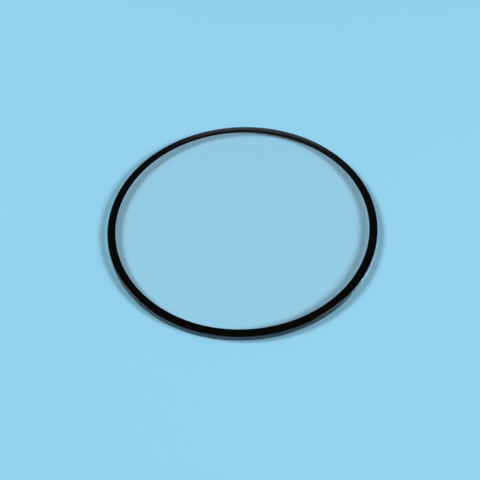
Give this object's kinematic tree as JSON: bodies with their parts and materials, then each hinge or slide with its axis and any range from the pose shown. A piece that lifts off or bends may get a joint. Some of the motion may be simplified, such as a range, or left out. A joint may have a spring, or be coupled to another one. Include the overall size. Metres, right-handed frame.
{
  "type": "watch glass",
  "caption": "Flat round clear watch glass with bevelled edges and a black border ring printed on one face and over its bevel.",
  "frame": {"origin": "centre of the unprinted face, on which the glass rests", "axes": "+Z through the glass, towards the printed face; the glass is round about Z"},
  "size_m": [0.036, 0.036, 0.001],
  "materials": {
    "clear_glass": "polished, clear and colourless",
    "black_ink": "satin black printed ink"
  },
  "bodies": {
    "root": {"glass_pane": "clear_glass", "border_print": "black_ink"}
  },
  "joints": []
}
